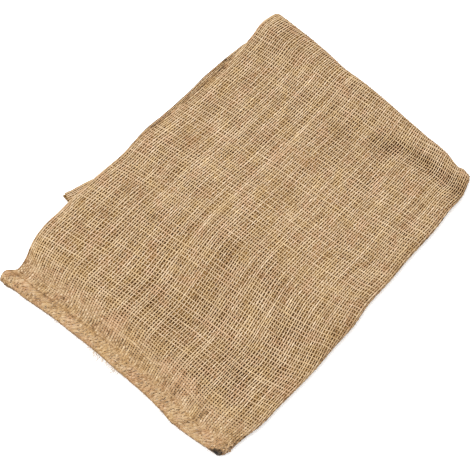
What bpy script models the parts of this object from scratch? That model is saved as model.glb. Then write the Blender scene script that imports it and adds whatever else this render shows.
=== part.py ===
"""Jute hessian sack, lying flat and folded.

The sack is one pocket of open cloth: a front and a back panel, joined down both sides and along a
rolled seam at the bottom. It is folded in half lengthwise, with the back panel inside, and then its
mouth end is turned under crosswise, so that eight layers lie on each other, and four at the seam end.

Sizes are in millimetres until the mesh is made. On the flat pocket, s runs across it from the
lengthwise fold, t runs from the bottom seam to the mouth, and h runs from the outside of the back
panel to the outside of the front panel. On the folded sack, +X points from the seam to the crosswise
fold, +Y from the lengthwise fold to the open edges, and +Z up. The origin is the middle of its underside.
"""

import math
from typing import NamedTuple

import bmesh
import bpy
import numpy as np

METRES_PER_MM = 0.001

# The cloth and the air between layers that lie on each other
CLOTH = 1.0
SLIT = 0.5
POCKET = 2 * CLOTH + SLIT
POCKET_MIDDLE = POCKET / 2
SIDE_ROUNDING = 0.9

# The flat pocket, and where it is folded
HALF_WIDTH = 270.0
TOP_LENGTH = 370.0
UNDER_LENGTH = 283.0
LENGTHWISE_TURN = 2.6
CROSSWISE_TURN = 9.4
STACK = 2 * POCKET + SLIT
STACK_ON_STACK = STACK + SLIT
CROSSWISE_RADIUS = SLIT / 2 + STACK

# The rolled bottom seam, thicker than the cloth, and its stitch line
STITCH_LINE = 12.5
SEAM_SETTLES = 34.0
ROLL_PUFF = 1.85
ROLL_PART = 1.05
LOOP_PART = 1.5
LOOP_REACH = 15.0

# How the cloth steps down past the mouth, and how far the lower leaf is set back
STEP_START = 4.0
STEP_LENGTH = 42.0
LEAF_SETBACK = 2.0
SETBACK_REACH = 60.0
AIR = 1.9
LEAST_AIR = 0.2

# Mean places of the edges, at which the tables of the other two edges are read
MEAN_CREASE_Y = -140.0
MEAN_OPEN_Y = 130.0


class EdgeRow(NamedTuple):
    """A place along an edge, and how far out the edge lies there."""

    along: float
    out: float


class CreaseRow(NamedTuple):
    """A soft ridge, or a trough where its rise is below zero, along a straight line."""

    x_from: float
    y_from: float
    x_to: float
    y_to: float
    reach: float
    rise: float


# Open edges of the half on top: X along, Y out. The first rows are the seam's ear and its neck
TOP_OPEN_EDGE = [
    EdgeRow(-194.0, 125.0),
    EdgeRow(-190.5, 129.5),
    EdgeRow(-187.0, 131.8),
    EdgeRow(-181.5, 131.0),
    EdgeRow(-175.5, 124.8),
    EdgeRow(-168.0, 124.4),
    EdgeRow(-159.0, 127.5),
    EdgeRow(-150.0, 131.6),
    EdgeRow(-138.0, 135.2),
    EdgeRow(-100.0, 134.0),
    EdgeRow(-60.0, 132.8),
    EdgeRow(-25.0, 129.8),
    EdgeRow(0.0, 131.0),
    EdgeRow(60.0, 125.5),
    EdgeRow(115.0, 124.6),
    EdgeRow(150.0, 121.4),
    EdgeRow(171.0, 123.8),
    EdgeRow(184.0, 121.0),
    EdgeRow(191.0, 119.5),
]

# Open edges of the half beneath: X along, Y out. The first rows are the pulled corner of the mouth
UNDER_OPEN_EDGE = [
    EdgeRow(-92.0, 146.8),
    EdgeRow(-84.0, 143.5),
    EdgeRow(-68.0, 138.3),
    EdgeRow(-45.0, 130.6),
    EdgeRow(-15.0, 132.8),
    EdgeRow(12.0, 133.8),
    EdgeRow(35.0, 131.4),
    EdgeRow(65.0, 129.6),
    EdgeRow(90.0, 130.9),
    EdgeRow(130.0, 124.9),
    EdgeRow(150.0, 119.5),
    EdgeRow(191.0, 118.0),
]

# The lengthwise fold: X along, Y out
LENGTHWISE_FOLD = [
    EdgeRow(-180.0, -117.0),
    EdgeRow(-174.0, -126.5),
    EdgeRow(-166.0, -133.6),
    EdgeRow(-155.0, -134.9),
    EdgeRow(-145.0, -136.3),
    EdgeRow(-125.0, -140.3),
    EdgeRow(-105.0, -140.4),
    EdgeRow(-60.0, -142.4),
    EdgeRow(-20.0, -142.0),
    EdgeRow(-3.0, -142.8),
    EdgeRow(25.0, -139.7),
    EdgeRow(55.0, -140.2),
    EdgeRow(85.0, -138.6),
    EdgeRow(125.0, -138.9),
    EdgeRow(150.0, -136.8),
    EdgeRow(164.0, -137.2),
    EdgeRow(176.0, -133.8),
    EdgeRow(187.0, -130.0),
]

# The bottom seam: Y along, X out
SEAM_EDGE = [
    EdgeRow(-140.0, -170.0),
    EdgeRow(-110.0, -175.4),
    EdgeRow(-97.0, -177.9),
    EdgeRow(-80.0, -177.3),
    EdgeRow(-50.0, -175.7),
    EdgeRow(-25.0, -176.4),
    EdgeRow(15.0, -177.8),
    EdgeRow(40.0, -180.2),
    EdgeRow(60.0, -181.6),
    EdgeRow(84.0, -184.7),
    EdgeRow(100.0, -187.0),
    EdgeRow(112.0, -187.7),
    EdgeRow(120.0, -188.4),
    EdgeRow(126.0, -189.5),
    EdgeRow(130.0, -189.8),
]

# The crosswise fold: Y along, X out
CROSSWISE_FOLD = [
    EdgeRow(-140.0, 187.4),
    EdgeRow(-133.0, 189.3),
    EdgeRow(-122.0, 187.6),
    EdgeRow(-104.0, 190.9),
    EdgeRow(-80.0, 191.2),
    EdgeRow(-40.0, 191.2),
    EdgeRow(-10.0, 191.9),
    EdgeRow(10.0, 191.8),
    EdgeRow(36.0, 190.4),
    EdgeRow(60.0, 191.4),
    EdgeRow(75.0, 191.8),
    EdgeRow(104.0, 191.4),
    EdgeRow(130.0, 190.4),
]

# The mouth, under the top half: Y along, X out
MOUTH_EDGE = [
    EdgeRow(-140.0, -122.0),
    EdgeRow(-60.0, -118.0),
    EdgeRow(10.0, -108.0),
    EdgeRow(80.0, -97.0),
    EdgeRow(130.0, -91.0),
]

# Ridges and troughs of the top leaf
CREASES = [
    CreaseRow(148.0, -42.0, 163.0, -72.0, 9.0, -1.7),
    CreaseRow(165.5, -87.0, 167.0, -132.0, 9.0, -1.7),
    CreaseRow(128.0, -62.0, 155.0, -128.0, 16.0, 1.3),
    CreaseRow(72.0, -62.0, 122.0, -50.0, 10.0, 1.4),
    CreaseRow(-125.0, -112.0, -50.0, -118.0, 14.0, -1.6),
    CreaseRow(-163.0, 100.0, -158.0, -110.0, 11.0, -1.2),
    CreaseRow(-88.0, 132.0, -108.0, -20.0, 16.0, 1.5),
    CreaseRow(-10.0, 40.0, 60.0, 20.0, 55.0, -1.1),
    CreaseRow(-40.0, 100.0, 90.0, 92.0, 26.0, 1.0),
    CreaseRow(40.0, -100.0, 95.0, -122.0, 18.0, 0.9),
]

# How much the seam's roll swells the pocket: distance from the seam's edge, times the thickness
ROLL_PROFILE = [
    EdgeRow(0.0, 0.9),
    EdgeRow(1.5, 1.6),
    EdgeRow(5.0, ROLL_PUFF),
    EdgeRow(9.5, 1.7),
    EdgeRow(STITCH_LINE, 1.05),
    EdgeRow(17.0, 1.0),
]

# Rows of the mesh: distances from the seam on the top half, then shares of the under half
SEAM_ROWS = [0.0, 1.5, 5.0, 9.5]
TOP_ROWS = [STITCH_LINE, 17.0, 26.0, 38.0, 52.0, 65.0, 78.0, 92.0, 108.0, 132.0, 162.0, 195.0, 230.0,
            262.0, 292.0, 318.0, 338.0, 356.0]
CROSSWISE_STEPS = 6
UNDER_SHARES = [0.05, 0.25, 0.5, 0.75, 0.93, 1.0]

# Columns of one leaf, as shares of its width from the lengthwise fold to the open edge
LEAF_SHARES = [0.03, 0.07, 0.12, 0.19, 0.28, 0.39, 0.51, 0.64, 0.77, 0.89, 0.97, 1.0]

JUTE_COLOUR = (0.49, 0.33, 0.19, 1.0)
JUTE_ROUGHNESS = 0.95


def read_edge(rows, at):
    """Return how far out an edge lies, on a smooth curve through its rows."""
    along = np.array([row.along for row in rows])
    out = np.array([row.out for row in rows])
    slope = np.gradient(out, along)
    at = np.clip(at, along[0], along[-1])
    left = np.clip(np.searchsorted(along, at, side="right") - 1, 0, len(along) - 2)
    span = along[left + 1] - along[left]
    share = (at - along[left]) / span
    rest = 1 - share
    return (out[left] * (1 + 2 * share) * rest**2
            + out[left + 1] * (1 + 2 * rest) * share**2
            + (slope[left] * rest - slope[left + 1] * share) * span * share * rest)


def ease(share):
    """Return a smooth step from 0 to 1 as the share goes from 0 to 1."""
    share = np.clip(share, 0.0, 1.0)
    return share * share * (3 - 2 * share)


def air_under_top_leaf(x, y):
    """Return the air below the top leaf, with its ridges and troughs."""
    air = AIR + 0.0 * x
    for crease in CREASES:
        run_x = crease.x_to - crease.x_from
        run_y = crease.y_to - crease.y_from
        along = ((x - crease.x_from) * run_x + (y - crease.y_from) * run_y) / (run_x**2 + run_y**2)
        along = np.clip(along, 0.0, 1.0)
        away = np.hypot(x - crease.x_from - along * run_x, y - crease.y_from - along * run_y)
        air = air + crease.rise * np.exp(-(away / crease.reach)**2)
    return np.maximum(air, LEAST_AIR)


def place(s, t, h):
    """Return where a point of the flat pocket lies on the folded sack, in millimetres."""
    across = np.abs(s)
    upper = s > 0
    top_share = np.clip(t / TOP_LENGTH, 0.0, 1.0)
    turn = np.clip((t - TOP_LENGTH) / CROSSWISE_TURN, 0.0, 1.0)
    under_share = np.clip((t - TOP_LENGTH - CROSSWISE_TURN) / UNDER_LENGTH, 0.0, 1.0)

    # The roll swells the pocket and holds the two leaves apart, most of all where it turns
    settled = ease((t - STITCH_LINE) / (SEAM_SETTLES - STITCH_LINE))
    puff = read_edge(ROLL_PROFILE, t)
    held_apart = (1 - settled) * (ROLL_PART + LOOP_PART * np.exp(-(across / LOOP_REACH)**2))
    fold_radius = SLIT / 2 + held_apart
    radius = fold_radius + POCKET_MIDDLE + (h - POCKET_MIDDLE) * puff
    outer_radius = fold_radius + POCKET_MIDDLE * (1 + puff)
    rest_height = fold_radius + POCKET_MIDDLE * (1 + ROLL_PUFF + (1 - ROLL_PUFF) * settled)

    # Fold lengthwise
    angle = np.clip(across / LENGTHWISE_TURN, 0.0, 1.0) * math.pi / 2
    beyond = np.maximum(across - LENGTHWISE_TURN, 0.0)
    share = beyond / (HALF_WIDTH - LENGTHWISE_TURN)
    rise = np.where(upper, 1.0, -1.0) * radius * np.sin(angle)

    # Lay the length between the seam, the crosswise fold and the mouth
    mean_y = MEAN_CREASE_Y + (MEAN_OPEN_Y - MEAN_CREASE_Y) * share
    seam_x = read_edge(SEAM_EDGE, mean_y)
    fold_x = read_edge(CROSSWISE_FOLD, mean_y) - CROSSWISE_RADIUS - AIR
    mouth_x = read_edge(MOUTH_EDGE, mean_y)
    setback = np.where(upper, 0.0, LEAF_SETBACK) * ease(across / SETBACK_REACH)
    x_top = seam_x + (fold_x - seam_x) * top_share
    x_under = fold_x + (mouth_x + setback - fold_x) * under_share
    x_flat = np.where(t <= TOP_LENGTH, x_top, x_under)

    # Air lifts the upper leaf, and goes again in the crosswise fold
    air = air_under_top_leaf(x_flat, mean_y) * np.sin(angle) * np.where(upper, 1.0, 0.0) * (1 - turn)
    height = rest_height + rise + air

    # Fold crosswise, and step down past the mouth
    bend = SLIT / 2 + height
    x = x_flat + np.where(turn < 1, bend * np.sin(turn * math.pi), 0.0)
    on_stack = ease((x_flat - mouth_x + STEP_START + STEP_LENGTH) / STEP_LENGTH)
    z_top = STACK_ON_STACK * on_stack + height
    z_turned = CROSSWISE_RADIUS + bend * np.cos(turn * math.pi)
    z = np.where(t <= TOP_LENGTH, z_top, z_turned)

    # Lay the width between the lengthwise fold and the open edges
    crease_y = read_edge(LENGTHWISE_FOLD, x) + outer_radius
    top_y = read_edge(TOP_OPEN_EDGE, x)
    under_y = read_edge(UNDER_OPEN_EDGE, x)
    open_y = top_y + (under_y - top_y) * ease(turn) - setback
    y = crease_y - radius * np.cos(angle) + (open_y - crease_y) * share
    return x, y, z


def column_places(half_width):
    """Return the places of the mesh's columns across the pocket, from one side to the other."""
    leaf = [LENGTHWISE_TURN + share * (half_width - LENGTHWISE_TURN) for share in LEAF_SHARES]
    upper = [LENGTHWISE_TURN / 2, LENGTHWISE_TURN] + leaf
    lower = [-s for s in reversed(upper)]
    return lower + [0.0] + upper


def ring_places(half_width, low, high, rounding):
    """Return the (s, h) places round one skin of the pocket: back panel, side, front panel, side."""
    columns = column_places(half_width)
    middle = (low + high) / 2
    back = [(s, low) for s in columns]
    front = [(s, high) for s in reversed(columns)]
    return back + [(half_width + rounding, middle)] + front + [(-half_width - rounding, middle)]


def add_rings(mesh, ring, rows):
    """Add a ring of vertices for each row of the mesh, joined into a tube, and return the rings."""
    s = np.array([spot[0] for spot in ring])
    h = np.array([spot[1] for spot in ring])
    rings = []
    for t in rows:
        x, y, z = place(s, np.full_like(s, t), h)
        corners = np.column_stack((x, y, z)) * METRES_PER_MM
        rings.append([mesh.verts.new(corner) for corner in corners])
    for near, far in zip(rings, rings[1:]):
        join_rings(mesh, near, far)
    return rings


def join_rings(mesh, near, far):
    """Join two rings of equal count with a band of faces."""
    for index in range(len(near)):
        after = (index + 1) % len(near)
        mesh.faces.new((near[index], near[after], far[after], far[index]))


def close_ring(mesh, ring):
    """Close a flat ring by joining its back columns to its front columns, and its two side points."""
    count = len(ring) // 2 - 1
    back = ring[:count]
    front = ring[count + 1:-1][::-1]
    for index in range(count - 1):
        mesh.faces.new((back[index], front[index], front[index + 1], back[index + 1]))
    mesh.faces.new((back[-1], front[-1], ring[count]))
    mesh.faces.new((front[0], back[0], ring[-1]))


def mesh_rows():
    """Return the rows of the mesh past the seam's roll, from the stitch line to the mouth."""
    turn = [TOP_LENGTH + CROSSWISE_TURN * step / CROSSWISE_STEPS for step in range(CROSSWISE_STEPS + 1)]
    under = [TOP_LENGTH + CROSSWISE_TURN + UNDER_LENGTH * share for share in UNDER_SHARES]
    return TOP_ROWS + turn + under


def make_sack():
    """Make the folded sack as one closed body, open only at its mouth."""
    mesh = bmesh.new()
    outside = ring_places(HALF_WIDTH, 0.0, POCKET, SIDE_ROUNDING)
    inside = ring_places(HALF_WIDTH - CLOTH, CLOTH, CLOTH + SLIT, 0.0)
    outer = add_rings(mesh, outside, SEAM_ROWS + mesh_rows())
    inner = add_rings(mesh, inside, mesh_rows())
    join_rings(mesh, outer[-1], inner[-1])
    close_ring(mesh, outer[0])
    close_ring(mesh, inner[0])
    bmesh.ops.recalc_face_normals(mesh, faces=mesh.faces)
    centre_on_floor(mesh)
    data = bpy.data.meshes.new("sack")
    mesh.to_mesh(data)
    mesh.free()
    data.shade_smooth()
    sack = bpy.data.objects.new("sack", data)
    bpy.context.collection.objects.link(sack)
    return sack


def centre_on_floor(mesh):
    """Move the mesh so that the middle of its box's underside is the origin."""
    corners = np.array([vertex.co for vertex in mesh.verts])
    low = corners.min(axis=0)
    high = corners.max(axis=0)
    middle = (low + high) / 2
    bmesh.ops.translate(mesh, verts=mesh.verts, vec=(-middle[0], -middle[1], -low[2]))


def give_material(sack):
    """Give the sack its own plain jute material."""
    material = bpy.data.materials.new("jute_hessian")
    material.use_nodes = True
    shader = material.node_tree.nodes["Principled BSDF"]
    shader.inputs["Base Color"].default_value = JUTE_COLOUR
    shader.inputs["Roughness"].default_value = JUTE_ROUGHNESS
    shader.inputs["Metallic"].default_value = 0.0
    sack.data.materials.append(material)


def main():
    """Clear the scene and make the sack."""
    for item in list(bpy.data.objects):
        bpy.data.objects.remove(item, do_unlink=True)
    give_material(make_sack())


main()
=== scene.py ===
"""Looks of the folded jute sack: woven hessian yarns, rolled seam, stitches and loose jute fibres.

The sack is one pocket of open cloth. On the flat pocket, s runs across it from the lengthwise fold, t runs
from the bottom seam to the mouth, and h runs from the outside of the back panel to the outside of the front
panel. Everything is laid out in these three, in millimetres, and one fold carries it to its place.
"""

import logging
import math
from dataclasses import dataclass
from enum import Enum
from typing import NamedTuple

import bmesh
import bpy
import numpy as np
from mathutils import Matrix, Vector


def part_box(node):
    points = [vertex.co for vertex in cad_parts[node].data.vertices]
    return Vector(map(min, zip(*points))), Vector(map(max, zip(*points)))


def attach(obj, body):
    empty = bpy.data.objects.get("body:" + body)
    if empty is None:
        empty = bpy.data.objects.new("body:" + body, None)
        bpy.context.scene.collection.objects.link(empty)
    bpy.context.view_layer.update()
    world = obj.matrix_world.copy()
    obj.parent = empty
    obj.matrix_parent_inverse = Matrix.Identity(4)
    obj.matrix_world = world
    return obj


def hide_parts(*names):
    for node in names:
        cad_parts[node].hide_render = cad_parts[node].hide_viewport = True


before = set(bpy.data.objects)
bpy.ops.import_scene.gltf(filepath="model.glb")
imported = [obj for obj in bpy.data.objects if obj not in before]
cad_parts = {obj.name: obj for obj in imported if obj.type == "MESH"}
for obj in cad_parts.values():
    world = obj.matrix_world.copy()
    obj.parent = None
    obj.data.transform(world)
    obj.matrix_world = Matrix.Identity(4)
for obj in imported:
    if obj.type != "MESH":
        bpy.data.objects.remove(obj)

# A millimetre, in metres
MM = 0.001

LOG = logging.getLogger("sack")
BODY = "root"
NODE = "sack"

Array = np.ndarray
Random = np.random.Generator
Material = bpy.types.Material
Piece = bpy.types.Object
Socket = bpy.types.NodeSocket

# Where a stretch or a soft step starts and where it ends
Span = tuple[float, float]

# How far apart the warps and the wefts lie in open cloth, in millimetres
WARP_PITCH = 2.31
WEFT_PITCH = 3.8

# Where the cloth's raw side lies on the flat pocket
SELVEDGE_AT = 272.8

SHADER = "Principled BSDF"
TINY = 1e-4

# How wide one band of a wave texture is at a scale of 1
WAVE_BAND = math.tau / 20


class EdgeRow(NamedTuple):
    """A place along an edge, and how far out the edge lies there, in millimetres."""

    along: float
    out: float


class CreaseRow(NamedTuple):
    """A soft ridge, or a trough where its rise is below zero, along a straight line, in millimetres."""

    x_from: float
    y_from: float
    x_to: float
    y_to: float
    reach: float
    rise: float


EdgeTable = tuple[EdgeRow, ...]
CreaseTable = tuple[CreaseRow, ...]


class YarnRun(Enum):
    """The two ways that yarns run in the cloth."""

    WARP = "warp"
    WEFT = "weft"


def table(kind: type, *rows: tuple[float, ...]) -> tuple:
    """Make a table from plain rows, each of them of one kind with named columns."""
    return tuple(kind(*map(float, row)) for row in rows)


def read_edge(rows: EdgeTable, at: Array) -> Array:
    """Read a smooth curve through the rows of a table.

    Args:
        rows: The table, in order of its first column.
        at: The places along the edge.

    Returns:
        How far out the edge lies at each place.
    """
    along, out = np.array(rows).T
    slope = np.gradient(out, along)
    at = np.clip(at, along[0], along[-1])
    left = np.clip(np.searchsorted(along, at, side="right") - 1, 0, len(along) - 2)
    span = along[left + 1] - along[left]
    share = (at - along[left]) / span
    rest = 1 - share
    return (out[left] * (1 + 2 * share) * rest**2
            + out[left + 1] * (1 + 2 * rest) * share**2
            + (slope[left] * rest - slope[left + 1] * share) * span * share * rest)


def read_straight(rows: EdgeTable, at: Array) -> Array:
    """Read straight lines through the rows of a table."""
    return np.interp(at, *np.array(rows).T)


def ease(share: Array) -> Array:
    """Return a smooth step from 0 to 1 as the share goes from 0 to 1."""
    share = np.clip(share, 0.0, 1.0)
    return share * share * (3 - 2 * share)


def fade_in(at: Array, start: float, end: float, least: float = 0.0) -> Array:
    """Return a smooth step from the least to 1 as places go from the start to the end."""
    return least + (1 - least) * ease((at - start) / (end - start))


def smooth_noise(a: Array, b: Array, size: float, seed: int) -> Array:
    """Return soft random hills, about -1 to 1, over two coordinates.

    Args:
        a: The first coordinate.
        b: The second coordinate.
        size: The width of a hill, in the coordinates' unit.
        seed: Which hills.
    """
    cells = 64
    hills = np.random.default_rng(seed).uniform(-1, 1, (cells, cells))
    column = np.asarray(a, dtype=float) / size
    row = np.asarray(b, dtype=float) / size
    column_0 = np.floor(column).astype(int)
    row_0 = np.floor(row).astype(int)
    across = ease(column - column_0)
    up = ease(row - row_0)
    near, far = (hills[column_0 % cells, (row_0 + step) % cells] * (1 - across)
                 + hills[(column_0 + 1) % cells, (row_0 + step) % cells] * across for step in (0, 1))
    return near * (1 - up) + far * up


def ridge_rise(rows: CreaseTable, x: Array, y: Array) -> Array:
    """Return the sum of soft ridges at places.

    Args:
        rows: The ridges.
        x: Places along the folded sack.
        y: Places across the folded sack.
    """
    rise = 0.0 * x
    for crease in rows:
        run_x = crease.x_to - crease.x_from
        run_y = crease.y_to - crease.y_from
        along = ((x - crease.x_from) * run_x + (y - crease.y_from) * run_y) / (run_x**2 + run_y**2)
        along = np.clip(along, 0.0, 1.0)
        away = np.hypot(x - crease.x_from - along * run_x, y - crease.y_from - along * run_y)
        rise = rise + crease.rise * np.exp(-(away / crease.reach)**2)
    return rise


@dataclass
class SackFold:
    """How the flat pocket lies folded: once lengthwise, and then its mouth end turned under crosswise."""

    cloth: float = 1.0
    slit: float = 0.5
    half_width: float = 270.0
    top_length: float = 370.0
    under_length: float = 283.0
    lengthwise_turn: float = 4.3
    crosswise_turn: float = 21.0
    stitch_line: float = 11.5
    seam_settles: float = 34.0
    roll_puff: float = 1.85
    roll_part: float = 1.05
    loop_part: float = 1.5
    loop_reach: float = 15.0
    step_start: float = 4.0
    step_length: float = 42.0
    leaf_setback: float = 2.0
    setback_reach: float = 60.0
    air: float = 1.9
    least_air: float = 0.2
    mean_crease_y: float = -140.0
    mean_open_y: float = 130.0
    nose_radius: float = 2.0
    nose_bulge: float = 1.0
    side_radius: float = 0.9
    side_bulge: float = 0.9
    stitch_pinch: float = 0.8
    stitch_pinch_width: float = 1.0
    pucker_rise: float = 0.7
    pucker_reach: float = 34.0
    pucker_spacing: float = 15.0
    pucker_start: float = 6.0
    pucker_lean: float = 0.35
    pucker_stretch: float = 0.2
    pucker_seed: int = 5
    rumple_rise: float = 0.35
    rumple_size: float = 26.0
    rumple_seed: int = 3
    past_mouth: float = 1.02
    shift: tuple[float, float] = (0.0, 0.0)
    top_open_edge: EdgeTable = table(EdgeRow, (-194, 125), (-190.5, 128.7), (-187, 130.9), (-181.5, 130.6),
        (-175.5, 124.8), (-168, 124.4), (-159, 127.5), (-150, 131.6), (-138, 135.2), (-100, 134),
        (-60, 132.8), (-25, 129.8), (0, 130.2), (30, 126.2), (60, 123), (95, 121.2), (120, 120.6),
        (137, 120.7), (150, 121.4), (171, 123.8), (184, 121), (191, 119.5))
    under_open_edge: EdgeTable = table(EdgeRow, (-92, 146.8), (-84, 143.5), (-68, 138.3), (-45, 130.6),
        (-15, 132.8), (12, 133.8), (35, 131.4), (65, 129.6), (90, 129.4), (130, 125.8), (140, 124.5),
        (150, 121.2), (191, 118))
    lengthwise_fold: EdgeTable = table(EdgeRow, (-180, -117), (-174, -126.5), (-166, -133.6),
        (-155, -134.9), (-145, -136.3), (-125, -140.3), (-105, -140.9), (-60, -143), (-20, -142.3),
        (-3, -142.6), (25, -139.3), (55, -139.6), (85, -138.6), (125, -138.9), (150, -136.8), (164, -137.2),
        (176, -133.8), (187, -130))
    seam_edge: EdgeTable = table(EdgeRow, (-140, -170.6), (-110, -175.7), (-97, -177), (-80, -175.6),
        (-50, -175), (-25, -176.1), (15, -177.4), (40, -179.7), (60, -181.1), (84, -184), (100, -186.2),
        (112, -187), (120, -188), (126, -189.3), (130, -189.8))
    crosswise_fold: EdgeTable = table(EdgeRow, (-140, 187.4), (-133, 188.4), (-126, 186.8), (-117, 188.6),
        (-108, 190.4), (-104, 190.8), (-80, 190.4), (-40, 191.2), (-10, 191.9), (10, 191.8), (36, 190.4),
        (60, 191.4), (75, 191.8), (104, 191.4), (130, 190.4))
    mouth_edge: EdgeTable = table(EdgeRow, (-140, -122), (-60, -118), (10, -108), (80, -97), (130, -93))
    roll_profile: EdgeTable = table(EdgeRow, (0, 0.9), (1.5, 1.6), (5, 1.85), (9, 1.7), (11.5, 1.05),
        (17, 1))
    creases: CreaseTable = table(CreaseRow, (148, -42, 163, -72, 9, -1.7), (165.5, -87, 167, -132, 9, -1.7),
        (128, -62, 155, -128, 16, 1.3), (72, -62, 122, -50, 10, 1.4), (-125, -112, -50, -118, 14, -1.6),
        (-163, 100, -158, -110, 11, -1.2), (-88, 132, -108, -20, 16, 1.5), (-10, 40, 60, 20, 55, -1.1),
        (-40, 100, 90, 92, 26, 1), (40, -100, 95, -122, 18, 0.9))
    # Where the weave is pulled open: thinner yarns there, and painted shade in the troughs
    open_weave: CreaseTable = table(CreaseRow, (149, -44, 163, -72, 9, 0.6),
        (165.5, -88, 167, -134, 9, 0.75), (-106, 16, -136, -80, 16, 0.14),
        (-116, -101, -40, -104, 18, 0.14), (172, 96, 170, 58, 14, 0.12))

    @property
    def pocket(self) -> float:
        """Return the thickness of the pocket's two panels and the slit between them."""
        return 2 * self.cloth + self.slit

    @property
    def length(self) -> float:
        """Return the flat pocket's length from the seam to the mouth."""
        return self.top_length + self.crosswise_turn + self.under_length

    def in_groove(self, t: Array) -> Array:
        """Return how deep places lie in the groove of the stitches, from 0 to 1."""
        return np.exp(-((t - self.stitch_line) / self.stitch_pinch_width)**2)

    def openness(self, spots: Array) -> Array:
        """Return how far the weave is pulled open at places in metres, up to 1 in the deepest trough."""
        return ridge_rise(self.open_weave, *(spots[:, :2] / MM).T)

    def leaf_air(self, x: Array, y: Array, t: Array) -> Array:
        """Return the air below the top leaf, with its ridges, troughs, rumples and the seam's puckers.

        Args:
            x: Places along the folded sack.
            y: Places across the folded sack.
            t: Distances from the bottom seam on the flat pocket.
        """
        rumples = self.rumple_rise * smooth_noise(x, y, self.rumple_size, self.rumple_seed)
        air = self.air + ridge_rise(self.creases, x, y) + rumples
        beyond = np.maximum(t - self.stitch_line, 0.0)
        drawn_in = np.exp(-(beyond / self.pucker_reach)**2) * ease((t - self.stitch_line) / self.pucker_start)
        across = y + self.pucker_lean * beyond
        puckers = smooth_noise(across, x * self.pucker_stretch, self.pucker_spacing, self.pucker_seed)
        return np.maximum(air + self.pucker_rise * drawn_in * puckers, self.least_air)

    def place(self, s: Array, t: Array, h: Array) -> Array:
        """Fold points of the flat pocket to their places.

        Args:
            s: Places across the pocket, from the lengthwise fold, below zero on the lower leaf.
            t: Distances from the bottom seam.
            h: Heights above the outside of the back panel.

        Returns:
            One row of x, y and z in metres for each point.
        """
        s, t, h = np.broadcast_arrays(*(np.asarray(value, dtype=float) for value in (s, t, h)))
        half = self.pocket / 2
        nose = np.clip(-t / self.nose_radius, 0.0, math.pi)
        side = np.clip((np.abs(s) - self.half_width) / self.side_radius, 0.0, math.pi)
        h = half + (h - half) * np.cos(nose) * np.cos(side)
        h = h - self.stitch_pinch * self.in_groove(t) * (h > half)
        t = np.where(t < 0, -self.nose_bulge * np.sin(nose), t)
        s = np.where(side > 0, np.sign(s) * (self.half_width + self.side_bulge * np.sin(side)), s)
        stack = 2 * self.pocket + self.slit
        crosswise_radius = self.slit / 2 + stack
        across = np.abs(s)
        upper = s > 0
        top_share = np.minimum(t / self.top_length, 1.0)
        turn = np.clip((t - self.top_length) / self.crosswise_turn, 0.0, 1.0)
        under_share = (t - self.top_length - self.crosswise_turn) / self.under_length
        under_share = np.clip(under_share, 0.0, self.past_mouth)

        settled = ease((t - self.stitch_line) / (self.seam_settles - self.stitch_line))
        puff = read_edge(self.roll_profile, t)
        loop = self.loop_part * np.exp(-(across / self.loop_reach)**2)
        fold_radius = self.slit / 2 + (1 - settled) * (self.roll_part + loop)
        radius = fold_radius + half + (h - half) * puff
        outer_radius = fold_radius + half * (1 + puff)
        rest_height = fold_radius + half * (1 + self.roll_puff + (1 - self.roll_puff) * settled)

        angle = np.clip(across / self.lengthwise_turn, 0.0, 1.0) * math.pi / 2
        beyond = np.maximum(across - self.lengthwise_turn, 0.0)
        share = beyond / (self.half_width - self.lengthwise_turn)
        rise = np.where(upper, 1.0, -1.0) * radius * np.sin(angle)

        mean_y = self.mean_crease_y + (self.mean_open_y - self.mean_crease_y) * share
        seam_x = read_edge(self.seam_edge, mean_y)
        fold_x = read_edge(self.crosswise_fold, mean_y) - crosswise_radius - self.air
        mouth_x = read_edge(self.mouth_edge, mean_y)
        reach = self.leaf_setback * ease(across / self.setback_reach)
        tucked_in = np.where(upper, reach, 0.0)
        x_top = seam_x + (fold_x - seam_x) * top_share
        x_under = fold_x + (mouth_x + tucked_in - fold_x) * under_share
        x_flat = np.where(t <= self.top_length, x_top, x_under)

        air = self.leaf_air(x_flat, mean_y, t) * np.sin(angle) * np.where(upper, 1.0, 0.0) * (1 - turn)
        height = rest_height + rise + air
        bend = self.slit / 2 + height
        x = x_flat + np.where(turn < 1, bend * np.sin(turn * math.pi), 0.0)
        on_stack = ease((x_flat - mouth_x + self.step_start + self.step_length) / self.step_length)
        z_top = (stack + self.slit) * on_stack + height
        z_turned = crosswise_radius + bend * np.cos(turn * math.pi)
        z = np.where(t <= self.top_length, z_top, z_turned)

        crease_y = read_edge(self.lengthwise_fold, x) + outer_radius
        top_y = read_edge(self.top_open_edge, x)
        under_y = read_edge(self.under_open_edge, x)
        open_y = top_y + (under_y - top_y) * ease(turn) - reach * np.where(upper, ease(turn), 1 - ease(turn))
        y = crease_y - radius * np.cos(angle) + (open_y - crease_y) * share
        return np.stack((x + self.shift[0], y + self.shift[1], z), axis=-1) * MM

    def turned(self, s: Array, t: Array) -> tuple[Array, Array]:
        """Return how far places lie round an edge: 0 on the open face, 1 halfway round.

        Args:
            s: Places across the pocket.
            t: Distances from the bottom seam.

        Returns:
            The shares for the lengthwise fold and seam, and those for the crosswise fold and open edges.
        """
        lengthwise = 1 - np.clip(np.abs(s) / self.lengthwise_turn, 0.0, 1.0)
        crosswise = 1 - np.abs(2 * np.clip((t - self.top_length) / self.crosswise_turn, 0.0, 1.0) - 1)
        nose = np.clip(-t / self.nose_radius, 0.0, math.pi / 2) / (math.pi / 2)
        side = np.clip((np.abs(s) - self.half_width) / self.side_radius, 0.0, math.pi / 2) / (math.pi / 2)
        return np.maximum(lengthwise, nose), np.maximum(crosswise, side)

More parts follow.
